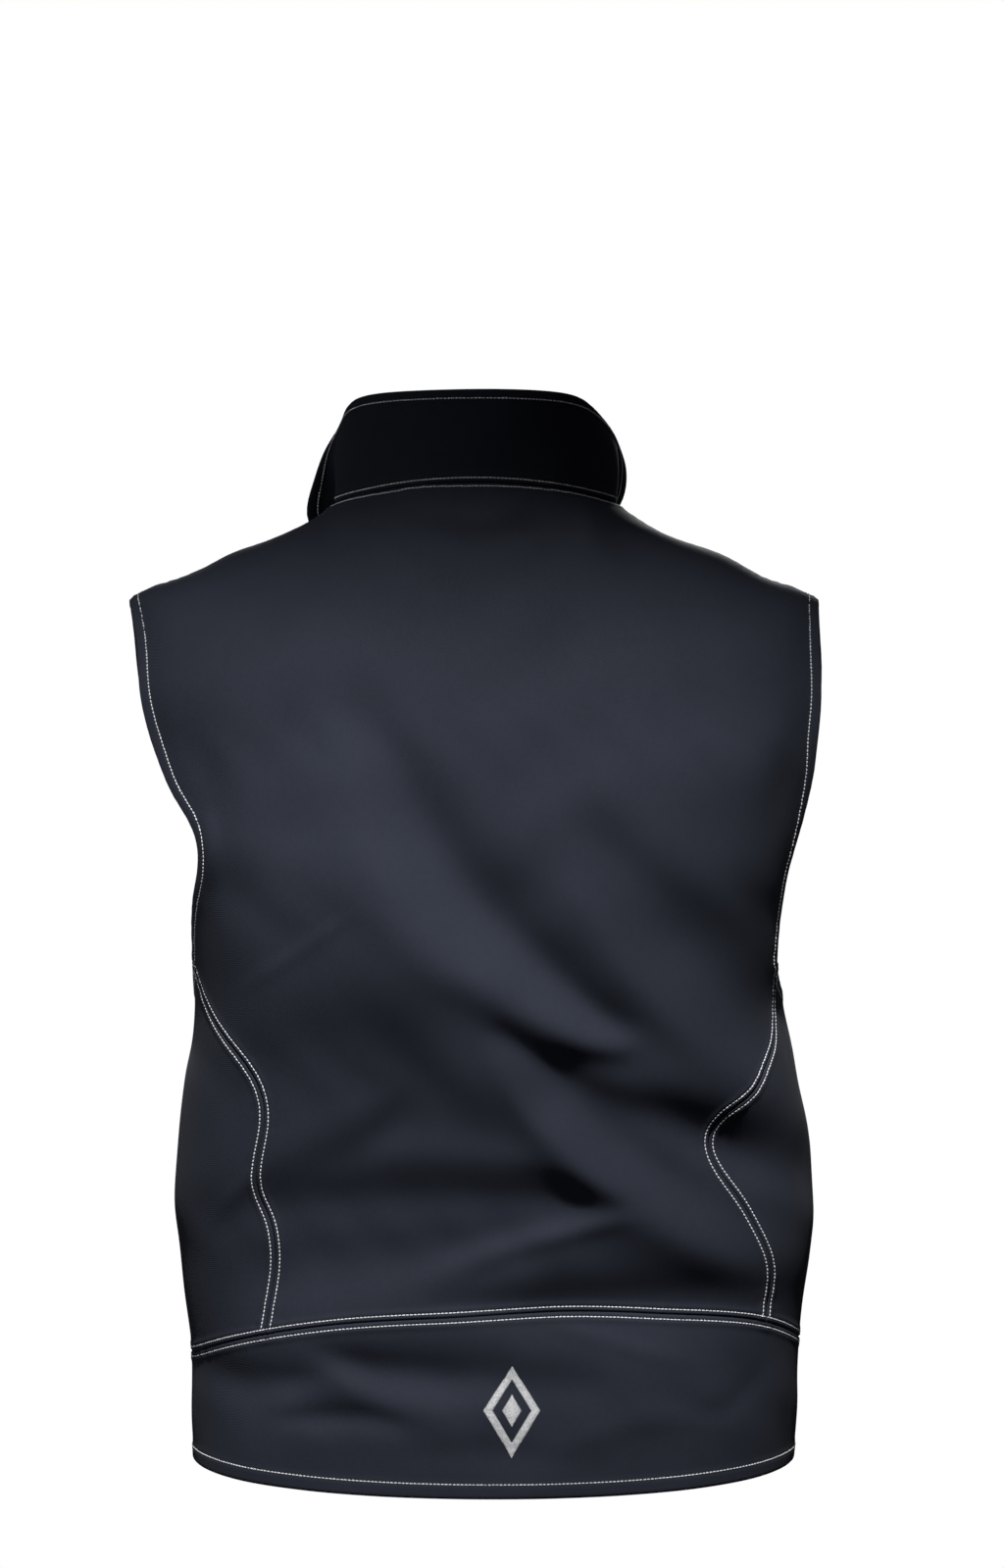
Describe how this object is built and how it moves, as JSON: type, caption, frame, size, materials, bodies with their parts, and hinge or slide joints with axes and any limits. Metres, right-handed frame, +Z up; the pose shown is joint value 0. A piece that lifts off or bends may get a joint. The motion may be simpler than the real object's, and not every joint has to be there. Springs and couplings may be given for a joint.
{
  "type": "western vest",
  "caption": "Sleeveless softshell western vest as worn, with an open stand collar, curved side back seams, a deep hem band and a front zip with a hinged pull tab",
  "frame": {"origin": "middle of the neck opening between the shoulders, where the wearer holds the vest", "axes": "+Z up along the worn vest, +Y out of the back, +X to the wearer's left"},
  "size_m": [0.4747, 0.2707, 0.7393],
  "materials": {
    "shell_cloth": "smooth matt woven softshell, near black with a blue cast",
    "collar_cloth": "the same matt softshell, a little darker",
    "zip_tape": "woven black zip tape",
    "zip_metal": "dark lacquered zip metal"
  },
  "bodies": {
    "vest_body": {"back_panel": "shell_cloth", "side_panel_left": "shell_cloth", "side_panel_right": "shell_cloth", "hem_band": "shell_cloth", "front_left": "shell_cloth", "front_right": "shell_cloth", "collar": "collar_cloth", "zip_tape_left": "zip_tape", "zip_tape_right": "zip_tape", "zip_slider": "zip_metal"},
    "pull_tab_body": {"zip_pull_tab": "zip_metal"}
  },
  "joints": [
    {"name": "pull_tab_hinge", "type": "hinge", "parent": "vest_body", "child": "pull_tab_body", "pos_m": [0.01103, -0.11464, -0.145], "axis": [-1, 0, 0], "range_deg": [0, 150]}
  ]
}
